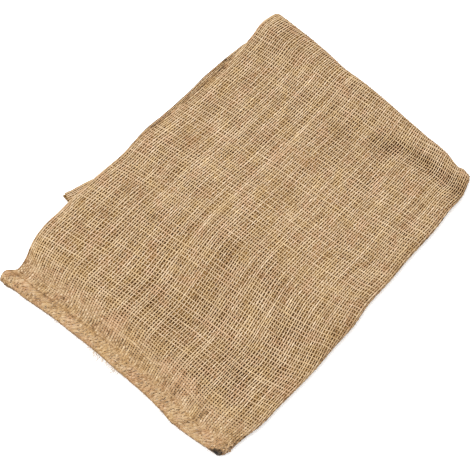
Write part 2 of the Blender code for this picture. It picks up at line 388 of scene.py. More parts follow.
    def centre_on(self, low: Vector, high: Vector) -> None:
        """Shift the fold so that its box stands on the middle of the solid's box.

        Args:
            low: The solid's lowest corner, in metres.
            high: The solid's highest corner, in metres.
        """
        columns, rows = 181, 241
        across = np.linspace(-self.half_width, self.half_width, columns)
        s, t = np.meshgrid(across, np.linspace(0, self.length, rows))
        outside = self.place(s, t, np.full_like(s, self.pocket)).reshape(-1, 3)
        middle = (outside.min(axis=0) + outside.max(axis=0)) / 2
        wanted = (np.array(low) + np.array(high)) / 2
        x, y = ((wanted - middle) / MM)[:2]
        self.shift = (self.shift[0] + float(x), self.shift[1] + float(y))
        LOG.info("shift %.2f %.2f mm", *self.shift)


def linear_colour(code: str) -> tuple[float, float, float, float]:
    """Turn an sRGB hex colour into the linear colour that shaders take.

    Args:
        code: Six hex digits.
    """
    parts = [int(code[place:place + 2], 16) / 255 for place in (0, 2, 4)]
    linear = [part / 12.92 if part <= 0.04045 else ((part + 0.055) / 1.055)**2.4 for part in parts]
    return (linear[0], linear[1], linear[2], 1.0)


def add_node(material: Material, kind: str, settings: dict[str, object] | None = None,
             links: dict[str | int, Socket] | None = None) -> bpy.types.Node:
    """Add one shader node with its settings and links.

    Args:
        material: The material that gets the node.
        kind: The node's type.
        settings: Values by name: an input socket's name or number, or the node's own property.
        links: The sockets that feed its inputs, by name or number.

    Returns:
        The new node.
    """
    node = material.node_tree.nodes.new(kind)
    for name, value in (settings or {}).items():
        if isinstance(name, str) and hasattr(node, name):
            setattr(node, name, value)
        else:
            node.inputs[name].default_value = value
    for name, socket in (links or {}).items():
        material.node_tree.links.new(socket, node.inputs[name])
    return node


def add_ramp(material: Material, fac: Socket, stops: list[tuple[float, str]]) -> Socket:
    """Add a colour ramp and return its colour socket.

    Args:
        material: The material that gets the ramp.
        fac: The socket that the ramp reads.
        stops: Places on the ramp and their hex colours, in order.
    """
    ramp = add_node(material, "ShaderNodeValToRGB", links={"Fac": fac})
    points = ramp.color_ramp.elements
    while len(points) < len(stops):
        points.new(0.5)
    for point, (place, code) in zip(points, stops):
        point.position = place
        point.color = linear_colour(code)
    return ramp.outputs["Color"]


def add_noise(material: Material, spot: Socket, size_mm: float, detail: float,
              roughness: float = 0.5) -> Socket:
    """Add soft noise of this size and return its value."""
    settings = {"Scale": 1 / (size_mm * MM), "Detail": detail, "Roughness": roughness}
    return add_node(material, "ShaderNodeTexNoise", settings, {"Vector": spot}).outputs["Fac"]


def add_math(material: Material, operation: str, *terms: float | Socket) -> Socket:
    """Add a math node over numbers and sockets, in their order, and return its output."""
    numbers = {place: term for place, term in enumerate(terms) if isinstance(term, float)}
    sockets = {place: term for place, term in enumerate(terms) if not isinstance(term, float)}
    return add_node(material, "ShaderNodeMath", {"operation": operation, **numbers}, sockets).outputs[0]


def add_attribute(material: Material, name: str) -> Socket:
    """Add a node that reads a value stored for each point, and return its output."""
    return add_node(material, "ShaderNodeAttribute", {"attribute_name": name}).outputs["Fac"]


def new_material(name: str, inputs: dict[str, object]) -> Material:
    """Make a material with these values on its shader, by the names of its inputs."""
    material = bpy.data.materials.new(name)
    material.use_nodes = True
    for key, value in inputs.items():
        material.node_tree.nodes[SHADER].inputs[key].default_value = value
    return material


def finish_surface(material: Material, colour: Socket, height: Socket, strength: float,
                   bump_mm: float) -> None:
    """Give a material's shader its colour and its bumps.

    Args:
        material: The material.
        colour: The colour.
        height: The height of the bumps, from 0 to 1.
        strength: How strong they show.
        bump_mm: How high they are.
    """
    settings = {"Strength": strength, "Distance": bump_mm * MM}
    bump = add_node(material, "ShaderNodeBump", settings, {"Height": height})
    inputs = material.node_tree.nodes[SHADER].inputs
    material.node_tree.links.new(colour, inputs["Base Color"])
    material.node_tree.links.new(bump.outputs["Normal"], inputs["Normal"])


@dataclass(frozen=True)
class JuteYarnFinish:
    """Spun jute, dry and undyed: matt, hairy, and uneven in shade along each yarn."""

    name: str
    deep: str
    shadow: str
    middle: str
    light: str
    seam: str
    # The darkest ramp stop, for the painted shadow in the seam corner's gap
    painted_hole_shadow: str = "160d06"
    pink_tint: str = "fff5f2"
    straw_tint: str = "fffbed"
    blotch_mm: float = 4.0
    blotch_contrast: float = 0.36
    patch_mm: float = 55.0
    patch_contrast: float = 0.06
    fibre_mm: float = 0.5
    fibre_contrast: float = 0.5
    tint_mm: float = 16.0
    roughness: float = 0.92
    sheen: float = 0.16
    sheen_roughness: float = 0.6
    shine: float = 0.1
    bump_mm: float = 0.25
    bump_strength: float = 0.6

    def make(self) -> Material:
        """Make the material. It reads each yarn's own shade, its tone with painted shade, and how near it
        lies to the seam.
        """
        material = new_material(self.name, {
            "Roughness": self.roughness, "Specular IOR Level": self.shine,
            "Sheen Weight": self.sheen, "Sheen Roughness": self.sheen_roughness})
        spot = add_node(material, "ShaderNodeTexCoord").outputs["Object"]
        blotch = add_noise(material, spot, self.blotch_mm, 3.0, 0.6)
        patch = add_noise(material, spot, self.patch_mm, 2.0)
        fibre = add_noise(material, spot, self.fibre_mm, 4.0, 0.7)
        shade = add_attribute(material, "shade")
        for noise, contrast in ((blotch, self.blotch_contrast), (patch, self.patch_contrast),
                                (fibre, self.fibre_contrast)):
            uneven = add_math(material, "MULTIPLY_ADD", noise, contrast, -contrast / 2)
            shade = add_math(material, "ADD", shade, uneven)
        cloth_colour = add_ramp(material, shade, [
            (0.0, self.painted_hole_shadow), (0.03, self.deep), (0.2, self.shadow), (0.5, self.middle), (1.0, self.light)])
        mixed = add_node(material, "ShaderNodeMix", {"data_type": "RGBA", 7: linear_colour(self.seam)},
                         {0: add_attribute(material, "near_seam"), 6: cloth_colour})
        hue = add_noise(material, spot, self.tint_mm, 3.0, 0.65)
        tint = add_ramp(material, hue, [(0.36, self.pink_tint), (0.5, "ffffff"), (0.64, self.straw_tint)])
        tinted = add_node(material, "ShaderNodeMix", {"data_type": "RGBA", "blend_type": "MULTIPLY", 0: 1.0},
                          {6: mixed.outputs[2], 7: tint})
        finish_surface(material, tinted.outputs[2], fibre, self.bump_strength, self.bump_mm)
        return material


@dataclass(frozen=True)
class InnerClothFinish:
    """Inner hessian: deep brown painted shadow between the yarns that cover it, plain weave where bare."""

    name: str
    shaded_gap_dark: str
    shaded_gap_light: str
    bare_dark: str
    bare_light: str
    fibre_mm: float = 10 / 9
    strand_mm: float = 1.4
    patch_mm: float = 28.0
    patch_contrast: float = 0.3
    trough_shade_dims: float = 0.35
    distortion: float = 1.2
    roughness: float = 0.96
    shine: float = 0.1
    bump_mm: float = 0.5
    bump_strength: float = 0.8

    def make(self) -> Material:
        """Make the material. Its weave follows the cloth by the flat pocket's own coordinates."""
        material = new_material(self.name, {"Roughness": self.roughness, "Specular IOR Level": self.shine})
        flat = add_node(material, "ShaderNodeUVMap", {"uv_map": "flat"}).outputs["UV"]
        spot = add_node(material, "ShaderNodeTexCoord").outputs["Object"]
        ridges = []
        for direction, pitch in (("X", WARP_PITCH), ("Y", WEFT_PITCH)):
            wave = add_node(material, "ShaderNodeTexWave", {
                "wave_type": "BANDS", "bands_direction": direction, "Distortion": self.distortion,
                "Detail": 1.0, "Scale": WAVE_BAND / (pitch * MM)}, {"Vector": flat})
            ridges.append(wave.outputs["Fac"])
        woven = add_math(material, "MAXIMUM", *ridges)
        worn = add_math(material, "MULTIPLY", woven, add_noise(material, spot, self.fibre_mm, 3.0))
        bare = add_ramp(material, worn, [(0.15, self.bare_dark), (0.6, self.bare_light)])
        strand = add_noise(material, spot, self.strand_mm, 2.0)
        patch = add_noise(material, spot, self.patch_mm, 2.0)
        patched = add_math(material, "MULTIPLY_ADD", patch, self.patch_contrast, strand)
        # Painted shade, deeper in the troughs where the weave is pulled open
        trough_shade = add_attribute(material, "trough_shade")
        seen = add_math(material, "MULTIPLY_ADD", trough_shade, -self.trough_shade_dims, patched)
        # Painted shadow of the layers beneath, seen between the yarns
        gap = add_ramp(material, seen, [(0.52, self.shaded_gap_dark), (0.95, self.shaded_gap_light)])
        colour = add_node(material, "ShaderNodeMix", {"data_type": "RGBA"},
                          {0: add_attribute(material, "covered"), 6: bare, 7: gap})
        finish_surface(material, colour.outputs[2], worn, self.bump_strength, self.bump_mm)
        return material


@dataclass(frozen=True)
class PaleFloorFinish:
    """A matt white studio floor."""

    name: str = "matt_white_floor"
    colour: str = "fcfcfc"
    roughness: float = 0.9

    def make(self) -> Material:
        """Make the material."""
        colour = linear_colour(self.colour)
        return new_material(self.name, {"Base Color": colour, "Roughness": self.roughness})


def add_object(name: str, data: bpy.types.ID) -> Piece:
    """Make an object from its data and put it in the scene."""
    item = bpy.data.objects.new(name, data)
    bpy.context.collection.objects.link(item)
    return item


def add_mesh(name: str, mesh: bmesh.types.BMesh, material: Material) -> Piece:
    """Turn a finished bmesh into an object, and free it."""
    data = bpy.data.meshes.new(name)
    mesh.to_mesh(data)
    mesh.free()
    data.materials.append(material)
    return add_object(name, data)


def store(data: bpy.types.Mesh, name: str, values: Array) -> None:
    """Store a value for each point of a mesh, for its material to read."""
    data.attributes.new(name, "FLOAT", "POINT").data.foreach_set("value", values.astype(np.float32))


def declare(piece: Piece) -> None:
    """Let a piece ride on the sack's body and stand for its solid."""
    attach(piece, BODY)
    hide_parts(NODE)


@dataclass
class PocketCloth:
    """The sack's cloth as one thin folded pocket, on which the outer yarns lie."""

    fold: SackFold
    finish: Material
    columns: int = 46
    rows: int = 128
    outer_low: float = 0.15
    outer_high: float = 2.3
    inner_low: float = 0.85
    inner_high: float = 1.35
    sunk: float = 0.75
    sunk_edge: float = 4.0
    selvedge: float = 0.7
    even_columns: float = 0.35
    column_power: float = 2.2

    def add_slab(self, mesh: bmesh.types.BMesh, low: float, high: float, start: float, half: float) -> list:
        """Add one closed slab of the flat pocket with its mouth face taken off.

        Args:
            mesh: The mesh that gets the slab.
            low: The slab's lower height.
            high: Its upper height.
            start: Where it starts, as a distance from the seam.
            half: Half its width.

        Returns:
            The edges round the open mouth.
        """
        length = self.fold.length - start
        made = bmesh.ops.create_grid(mesh, x_segments=2 * self.columns, y_segments=self.rows, size=0.5)
        verts = made["verts"]
        bmesh.ops.scale(mesh, verts=verts, vec=(2 * half, length, 1.0))
        bmesh.ops.translate(mesh, verts=verts, vec=(0.0, start + length / 2, high))
        faces = list({face for vert in verts for face in vert.link_faces})
        pulled = bmesh.ops.extrude_face_region(mesh, geom=faces, use_keep_orig=True)
        new_verts = [item for item in pulled["geom"] if isinstance(item, bmesh.types.BMVert)]
        bmesh.ops.translate(mesh, verts=new_verts, vec=(0.0, 0.0, low - high))
        slab = {face for vert in verts + new_verts for face in vert.link_faces}
        mouth_at = self.fold.length - TINY
        mouth = [face for face in slab if all(vert.co.y > mouth_at for vert in face.verts)]
        edges = {edge for face in mouth for edge in face.edges if len(edge.link_faces) == 2
                 and any(other not in mouth for other in edge.link_faces)}
        bmesh.ops.delete(mesh, geom=mouth, context="FACES_ONLY")
        return list(edges)

    def make_flat(self) -> bmesh.types.BMesh:
        """Make the flat pocket: an outer skin and an inner skin, joined round the mouth."""
        mesh = bmesh.new()
        outer = self.add_slab(mesh, self.outer_low, self.outer_high, 0.0, self.fold.half_width)
        inner = self.add_slab(mesh, self.inner_low, self.inner_high, self.fold.stitch_line,
                              self.fold.half_width - self.selvedge)
        bmesh.ops.bridge_loops(mesh, edges=outer + inner)
        bmesh.ops.recalc_face_normals(mesh, faces=mesh.faces)

        # Extruded sides come in no fixed order, so the faces are sorted by their places
        for rank, face in enumerate(sorted(mesh.faces, key=lambda face: tuple(face.calc_center_median()))):
            face.index = rank
        mesh.faces.sort()
        return mesh

    def covered(self, s: Array, t: Array, h: Array) -> Array:
        """Return how far real yarns cover the front panel's outside, from 0 to 1."""
        share = np.zeros_like(s)
        for face in woven_faces(self.fold):
            inside = np.minimum.reduce([s - face.s_from, face.s_to - s, t - face.t_from, face.t_to - t])
            share = np.maximum(share, ease(inside / self.sunk_edge))
        outside = h > (self.inner_high + self.outer_high) / 2
        return share * outside

    def make(self) -> Piece:
        mesh = self.make_flat()
        mesh.verts.ensure_lookup_table()
        flat = np.array([vert.co for vert in mesh.verts])
        spread = np.sign(flat[:, 0]) * self.bunch(np.abs(flat[:, 0]))
        rows = self.bunch_rows(flat[:, 1])
        covered = self.covered(spread, rows, flat[:, 2])
        folded = self.fold.place(spread, rows, flat[:, 2] - self.sunk * covered)
        layer = mesh.loops.layers.uv.new("flat")
        for face in mesh.faces:
            for loop in face.loops:
                index = loop.vert.index
                loop[layer].uv = (spread[index] * MM, rows[index] * MM)
            face.smooth = True
        for vert, spot in zip(mesh.verts, folded):
            vert.co = spot
        piece = add_mesh("pocket_cloth", mesh, self.finish)
        store(piece.data, "covered", covered)
        # How far the weave is pulled open, which the material reads as painted shade in the troughs
        store(piece.data, "trough_shade", self.fold.openness(folded))
        declare(piece)
        return piece

    def bunch(self, across: Array) -> Array:
        """Draw the mesh's even columns together at the lengthwise fold, where the cloth bends most."""
        share = across / self.fold.half_width
        drawn = self.even_columns * share + (1 - self.even_columns) * share**self.column_power
        return self.fold.half_width * drawn

    def bunch_rows(self, along: Array) -> Array:
        """Draw the mesh's even rows together at the seam and at the crosswise fold."""
        length = self.fold.length
        drawn = table(EdgeRow, (0, 0), (length * 0.12, 22), (length * 0.5, 352), (length * 0.56, 360),
                      (length * 0.74, 396), (length, length))
        start = self.fold.stitch_line
        return np.where(np.abs(along - start) < TINY, start, np.maximum(read_straight(drawn, along), 0.0))


# How far apart the warps lie, by their distance from the lengthwise fold. They are closer at the selvedge
WARP_SPACINGS = table(EdgeRow, (0, WARP_PITCH), (264, WARP_PITCH), (268, 1.7), (300, 1.4))

# How far apart the wefts lie, by their distance from the seam, which draws them together
WEFT_SPACINGS = table(EdgeRow, (0, 1.6), (15, 1.9), (25, 2.3), (38, 2.9), (58, 3.75), (700, WEFT_PITCH))

# How far the warps lean across, by their distance from the seam: they were drawn aside there
WARP_LEAN = table(EdgeRow, (0, -19), (20, -16), (45, -11.5), (80, -10), (120, -2.5), (160, 4.5), (200, 3.5),
    (290, 3), (330, 1), (372, 0), (700, 0))

# How far the wefts run off square, by their distance from the lengthwise fold
WEFT_SKEW = table(EdgeRow, (0, 23), (60, 9.8), (135, 0), (270, -17.5))

# Painted shade and light on the peeking edge, by the distance from the seam: browner along the open edge,
# lighter at the tab
PEEKING_PAINTED_SHADING = table(EdgeRow, (380, -0.18), (560, -0.18), (620, 0.06))

# Painted shadow on the open edge's outermost yarns, by the distance from the seam: most on the strip
SELVEDGE_PAINTED_SHADOWS = table(EdgeRow, (0, 0.2), (150, 0.15), (190, 0.42), (305, 0.42), (325, 0.1))


@dataclass
class WovenFace:
    """One outer face of the cloth, and where its warps and wefts cross."""

    name: str
    s_from: float
    s_to: float
    t_from: float
    t_to: float
    roundness: int
    seed: int
    painted_shading: EdgeTable = table(EdgeRow, (0, 0))
    s_margin: float = 26.0
    t_margin: float = 32.0
    unevenness: float = 0.1
    closest: float = 0.6
    widest: float = 1.5
    lean_stops: float = 2.5
    lean_reach: float = 150.0
    skew_grows: Span = (10.0, 80.0)
    seam_skew: float = 0.15
    wander: float = 0.27
    weft_wander: float = 1.5
    warps_unlike: float = 3.1
    wefts_unlike: float = 2.7
    warp_bend: float = 14.0
    weft_bend: float = 17.0
    seam_tangle: float = 0.9
    weft_tangle: float = 0.5
    least_tangle: float = 0.1
    tangle_full: Span = (15.0, 9.0)
    tangle_ends: Span = (45.0, 30.0)

    def spaced(self, low: float, high: float, spacings: EdgeTable, rng: Random) -> Array:
        """Space yarns unevenly over a stretch.

        Args:
            low: Where the stretch starts.
            high: Where it ends.
            spacings: The mean spacing at places along the stretch, read with no regard to sign.
            rng: The source of the unevenness.

        Returns:
            The yarns' places.
        """
        places = [low]
        while places[-1] < high:
            step = float(read_straight(spacings, abs(places[-1])))
            uneven = np.clip(rng.normal(1.0, self.unevenness), self.closest, self.widest)
            places.append(places[-1] + step * uneven)
        return np.array(places)

    def lattice(self) -> tuple[Array, Array]:
        """Work out where the yarns cross, on the flat pocket.

        Returns:
            The s and the t of each crossing, a row for each warp and a column for each weft.
        """
        rng = np.random.default_rng(self.seed)
        warps = self.spaced(self.s_from - self.s_margin, self.s_to + self.s_margin, WARP_SPACINGS, rng)
        wefts = self.spaced(self.t_from - self.t_margin, self.t_to + self.t_margin, WEFT_SPACINGS, rng)
        s, t = np.meshgrid(warps, wefts, indexing="ij")
        lean = read_edge(WARP_LEAN, t) * ease((SELVEDGE_AT - self.lean_stops - np.abs(s)) / self.lean_reach)
        skew = read_edge(WEFT_SKEW, np.abs(s)) * fade_in(t, *self.skew_grows, self.seam_skew)
        warp_noise = smooth_noise(s * self.warps_unlike, t, self.warp_bend, self.seed + 1)
        weft_noise = smooth_noise(s, t * self.wefts_unlike, self.weft_bend, self.seed + 2)
        s_shift = lean + self.wander * warp_noise
        t_shift = skew + self.wander * self.weft_wander * weft_noise
        tangled = self.seam_tangle * fade_in(t, *self.tangle_full, self.least_tangle)
        tangled = tangled * fade_in(t, *self.tangle_ends)
        s_shift = s_shift + tangled * rng.normal(0.0, 1.0, s.shape)
        t_shift = t_shift + tangled * self.weft_tangle * rng.normal(0.0, 1.0, s.shape)
        return s + s_shift, t + t_shift


def woven_faces(fold: SackFold) -> list[WovenFace]:
    """Return the faces of the cloth that show, seen from any side."""
    top_end = fold.top_length + fold.crosswise_turn
    half = SELVEDGE_AT
    return [
        WovenFace("top", -12.0, half, -5.0, top_end + 4.0, 1, 11),
        WovenFace("underside", -12.0, half, top_end + 4.0, fold.length, 0, 21),
        WovenFace("seam_end", -half, -12.0, -5.0, 118.0, 0, 31),
        WovenFace("peeking_edge", -half, -half + 32.0, top_end - 10.0, fold.length, 0, 41, PEEKING_PAINTED_SHADING),
    ]


@dataclass
class Thread:
    """One spun thread or hair: its places in metres, its radii in millimetres, its shades and seam shares."""

    spots: Array
    radii: Array
    shades: Array
    seams: Array


def spin_threads(name: str, threads: list[Thread], roundness: int, finish: Material) -> Piece:
    """Args:
        name: The piece's name.
        threads: The threads.
        roundness: How round they are: 0 gives 4 sides, 1 gives 6.
        finish: Their material.

    Returns:
        The mesh piece.
    """
    curve = bpy.data.curves.new(name, "CURVE")
    curve.dimensions = "3D"
    curve.bevel_depth = MM
    curve.bevel_resolution = roundness
    curve.use_fill_caps = True
    for thread in threads:
        spline = curve.splines.new("POLY")
        spline.points.add(len(thread.spots) - 1)
        weights = np.ones(len(thread.spots))
        spline.points.foreach_set("co", np.column_stack((thread.spots, weights)).ravel())
        spline.points.foreach_set("radius", thread.radii)
    holder = add_object("thread_curve", curve)
    graph = bpy.context.evaluated_depsgraph_get()
    data = bpy.data.meshes.new_from_object(holder.evaluated_get(graph))
    bpy.data.objects.remove(holder)
    bpy.data.curves.remove(curve)
    sides = 4 + 2 * roundness
    for layer, values in (("shade", [thread.shades for thread in threads]),
                          ("near_seam", [thread.seams for thread in threads])):
        caps = [[value[-1], value[0]] for value in reversed(values)]
        store(data, layer, np.repeat(np.concatenate(caps + values), sides))
    data.shade_smooth()
    data.materials.clear()
    data.materials.append(finish)
    piece = add_object(name, data)
    declare(piece)
    triangles = sum(len(face.vertices) - 2 for face in data.polygons)
    LOG.info("%s: %d threads, %d triangles", name, len(threads), triangles)
    return piece


@dataclass
class YarnLayer:
    """Makes a woven face's warps and wefts as two meshes of round spun threads, which go over and under."""

    fold: SackFold
    face: WovenFace
    finishes: dict[YarnRun, Material]
    warp_radius: float = 0.63
    weft_radius: float = 0.61
    height: float = 1.8
    warp_rise: float = 0.08
    crimp: float = 0.3
    seam_lift: float = 0.16
    size_spread: float = 0.08
    thinnest: float = 0.75
    thickest: float = 1.3
    slub_length: float = 5.0
    slub_stride: float = 7.3
    slub_size: float = 0.12
    slub_shade: float = 0.1
    thick_slub: float = 0.35
    thick_slub_from: float = 0.6
    roll_fullness: float = 0.85
    roll_ends: Span = (10.0, 16.0)
    seam_fullness: float = 0.45
    seam_fullness_reach: float = 27.0
    lower_fullness: float = 0.08
    lower_reach: float = 270.0
    middle_shade: float = 0.5
    own_shade: float = 0.05
    # Painted shade where a yarn dips under its neighbour
    dip_painted_shade: float = 0.1
    weft_dip_painted_shade: float = 0.17
    weft_dim: float = 0.05
    speckle: float = 0.09
    seam_speckle: float = 0.6
    mottle: float = 0.05
    mottle_size: float = 9.0
    mottle_by_seam: float = 0.8
    pale_lift: float = 0.16
    pale_warps: float = 0.2
    pale_wefts: float = 0.12
    pale_part: float = 0.4
    pale_size: float = 24.0
    pale_by_seam: float = 0.6
    seam_share: float = 0.3
    seam_share_reach: float = 5.0
    seam_dim: float = 0.2
    seam_dim_reach: float = 72.0
    # Painted shade in the groove of the stitches
    groove_painted_shade: float = 0.5
    groove_least: float = 0.15
    groove_grows: Span = (130.0, 200.0)
    # Painted shade on yarns that turn round the folds, the seam's nose and the raw sides, away from the light
    far_edge_painted_shade: float = 0.32
    near_edge_painted_shade: float = 0.22
    selvedge_grows: Span = (268.0, 271.0)
    fold_dim: float = 0.12
    fold_dim_reach: float = 12.0
    # Painted shadow in the gap between the two rolls at the seam's corner
    hole_at: float = 3.2
    hole_reach: float = 3.6
    hole_grows: Span = (3.0, 0.5)
    hole_painted_shade: float = 1.2
    darkest: float = 0.07
    # Yarns are thinner in the open-weave troughs, and painted shade darkens them there
    hollow_size: float = 0.24
    yarn_trough_shade: float = 0.18

    def make(self) -> list[Piece]:
        """Make the warps and then the wefts. They cross over and under in turn."""
        s, t = self.face.lattice()
        over = (np.add.outer(np.arange(s.shape[0]), np.arange(s.shape[1])) % 2) * 2.0 - 1.0
        lift = self.seam_lift * self.by_seam(t)
        pieces = []
        for run, radius in ((YarnRun.WARP, self.warp_radius), (YarnRun.WEFT, self.weft_radius)):
            sign = 1.0 if run is YarnRun.WARP else -1.0
            h = self.height + sign * (self.warp_rise + self.crimp * over + lift)
            rows = (s, t, h) if run is YarnRun.WARP else (s.T, t.T, h.T)
            threads = self.threads(run, *rows, radius)
            name = f"{run.value}_{self.face.name}"
            pieces.append(spin_threads(name, threads, self.face.roundness, self.finishes[run]))
        return pieces

    def threads(self, run: YarnRun, s: Array, t: Array, h: Array, radius: float) -> list[Thread]:
        """Return all the yarns that run one way.

        Args:
            run: Which way.
            s: The crossings' s, a row for each yarn.
            t: The crossings' t.
            h: The crossings' heights.
            radius: The mean radius of a yarn.
        """
        face = self.face
        is_warp = run is YarnRun.WARP
        rng = np.random.default_rng(face.seed + (3 if is_warp else 4))
        pale_share = self.pale_warps if is_warp else self.pale_wefts
        dim = 0.0 if is_warp else self.weft_dim
        under = self.dip_painted_shade if is_warp else self.weft_dip_painted_shade
        threads = []
        for index, (yarn_s, yarn_t, yarn_h) in enumerate(zip(s, t, h)):
            inside = (yarn_s >= face.s_from) & (yarn_s <= face.s_to)
            inside &= (yarn_t >= face.t_from) & (yarn_t <= face.t_to)
            own_shade = rng.normal(0.0, self.own_shade)
            pale = self.pale_lift if rng.random() < pale_share else 0.0
            own_size = self.sizes(rng)
            count = len(yarn_s)
            slub = smooth_noise(np.arange(count), np.full(count, index * self.slub_stride), self.slub_length,
                                face.seed + 5)
            by_seam = self.by_seam(yarn_t)
            thicker = self.slub_size * slub + self.thick_slub * np.maximum(slub - self.thick_slub_from, 0.0)
            size = radius * own_size * (1 + thicker) * self.sizes(rng, count) * (1 + self.fullness(yarn_t))
            mottle = self.mottle * (1 - self.mottle_by_seam * by_seam)
            mottle = mottle * smooth_noise(yarn_s, yarn_t, self.mottle_size, face.seed + 6)
            # The face's painted shade and light, by the distance from the seam
            shade = self.middle_shade + read_straight(face.painted_shading, yarn_t) + own_shade + mottle
            shade = shade + self.slub_shade * slub
            # Painted shade where the yarn dips under the crossing yarns
            shade = shade - dim + under * np.sign(yarn_h - self.height)
            shade = shade + rng.normal(0.0, self.speckle, count) * (1 + self.seam_speckle * by_seam)
            pale_part = self.pale_part + smooth_noise(yarn_s, yarn_t, self.pale_size, face.seed + 9 + index)
            shade = shade + pale * np.clip(pale_part, 0, 1) * (1 - self.pale_by_seam * by_seam)
            # Painted shade at folds, edges and in the groove, kept above the darkest tone
            shade = np.maximum(shade - self.painted_edge_shade(yarn_s, yarn_t), self.darkest)
            in_corner_gap_shadow = self.in_corner_gap_shadow(yarn_s, yarn_t)
            shade = shade - self.hole_painted_shade * in_corner_gap_shadow
            seams = 1 - ease((yarn_t - self.fold.stitch_line) / self.seam_share_reach)
            seams = self.seam_share * seams * (1 - in_corner_gap_shadow)
            for start, end in unbroken(inside):
                if end - start < 2:
                    continue
                part = slice(start, end)
                spots = self.fold.place(yarn_s[part], yarn_t[part], yarn_h[part])
                # Yarns are thinner where the weave is pulled open, and painted shade darkens them in its
                # troughs
                pulled = self.fold.openness(spots)
                radii = size[part] * (1 - self.hollow_size * pulled)
                spots[:, 2] = np.maximum(spots[:, 2], radii * MM)
                threads.append(Thread(spots, radii, shade[part] - self.yarn_trough_shade * pulled, seams[part]))
        return threads

    def sizes(self, rng: Random, count: int | None = None) -> Array:
        """Return random sizes round 1, one or this many."""
        return np.clip(rng.normal(1.0, self.size_spread, count), self.thinnest, self.thickest)

    def fullness(self, t: Array) -> Array:
        """Return how much thicker yarns are on the roll, by the seam and in the lower half."""
        on_roll = 1 - fade_in(t, *self.roll_ends)
        fuller = on_roll * self.roll_fullness + (1 - on_roll) * self.seam_fullness * self.by_seam(t)
        return fuller + self.lower_fullness * np.exp(-(t / self.lower_reach)**2)

    def by_seam(self, t: Array) -> Array:
        """Return how near places lie to the seam's stitches, 1 there and on the roll and 0 far away."""
        return np.exp(-(np.maximum(t - self.fold.stitch_line, 0.0) / self.seam_fullness_reach)**2)

    def painted_edge_shade(self, s: Array, t: Array) -> Array:
        """Return painted shade at folds, edges and in the groove, plus darker tones by the lengthwise fold
        and seam.

        Args:
            s: Places across the pocket.
            t: Distances from the bottom seam.
        """
        near, far = self.fold.turned(s, t)
        groove = self.fold.in_groove(t) * fade_in(s, *self.groove_grows, self.groove_least)
        selvedge = read_straight(SELVEDGE_PAINTED_SHADOWS, t) * fade_in(s, *self.selvedge_grows)
        dark = self.groove_painted_shade * groove + self.near_edge_painted_shade * near + self.far_edge_painted_shade * far + selvedge
        dark = dark + self.fold_dim * np.exp(-(s / self.fold_dim_reach)**2)
        return dark + self.seam_dim * (1 - ease(t / self.seam_dim_reach))

    def in_corner_gap_shadow(self, s: Array, t: Array) -> Array:
        """Return how deep places lie in the seam corner's gap, where shadow is painted, from 0 to 1."""
        return np.exp(-((s - self.hole_at) / self.hole_reach)**2) * fade_in(t, *self.hole_grows)


@dataclass
class SeamStitches:
    """The twine that sews the rolled seam down, in its groove, on both faces of the folded sack."""

    fold: SackFold
    finish: Material
    pitch: float = 5.6
    length: float = 3.0
    radius: float = 0.38
    end_gap: float = 3.0
    low: float = 1.4
    shoulder: float = 2.05
    high: float = 2.3
    aside: float = 0.4
    wobble: float = 0.3
    shade: float = 0.35
    shade_spread: float = 0.12
    seed: int = 61

    def make(self) -> Piece:
        """Make the stitches."""
        rng = np.random.default_rng(self.seed)
        shares = np.array([0.0, 0.12, 0.5, 0.88, 1.0])
        h = np.array([self.low, self.shoulder, self.high, self.shoulder, self.low])
        count = len(h)
        end = self.fold.half_width - self.end_gap
        threads = []
        for start in np.arange(-end, end, self.pitch):
            aside = self.fold.stitch_line + self.aside * rng.normal(0.0, 1.0)
            aside = aside + self.wobble * rng.normal(0.0, 1.0, count)
            shades = self.shade + rng.normal(0.0, self.shade_spread, count)
            spots = self.fold.place(start + self.length * shares, aside, h)
            threads.append(Thread(spots, np.full(count, self.radius), shades, np.zeros(count)))
        return spin_threads("seam_stitches", threads, 1, self.finish)


class EdgeSide(NamedTuple):
    """A stretch of one edge, as places on the flat pocket, the way out from it, and its hairs."""

    s_from: float
    s_to: float
    t_from: float
    t_to: float
    out_x: float
    out_y: float
    hairs: int
    longest: float


# The fuzz round the outline. The last row is the frayed tuft of the seam
EDGE_SIDES = [
    EdgeSide(-268.0, 268.0, -3.1, -3.1, -1.0, 0.0, 260, 2.6),
    EdgeSide(271.4, 271.4, 0.0, 375.0, 0.0, 1.0, 170, 2.2),
    EdgeSide(-271.4, -271.4, 395.0, 660.0, 0.0, 1.0, 90, 2.6),
    EdgeSide(0.0, 0.0, 0.0, 375.0, 0.0, -1.0, 120, 1.8),
    EdgeSide(2.0, 268.0, 380.5, 380.5, 1.0, 0.0, 120, 1.8),
    EdgeSide(118.0, 166.0, -3.1, -3.1, -1.0, -0.35, 80, 9.0),
]


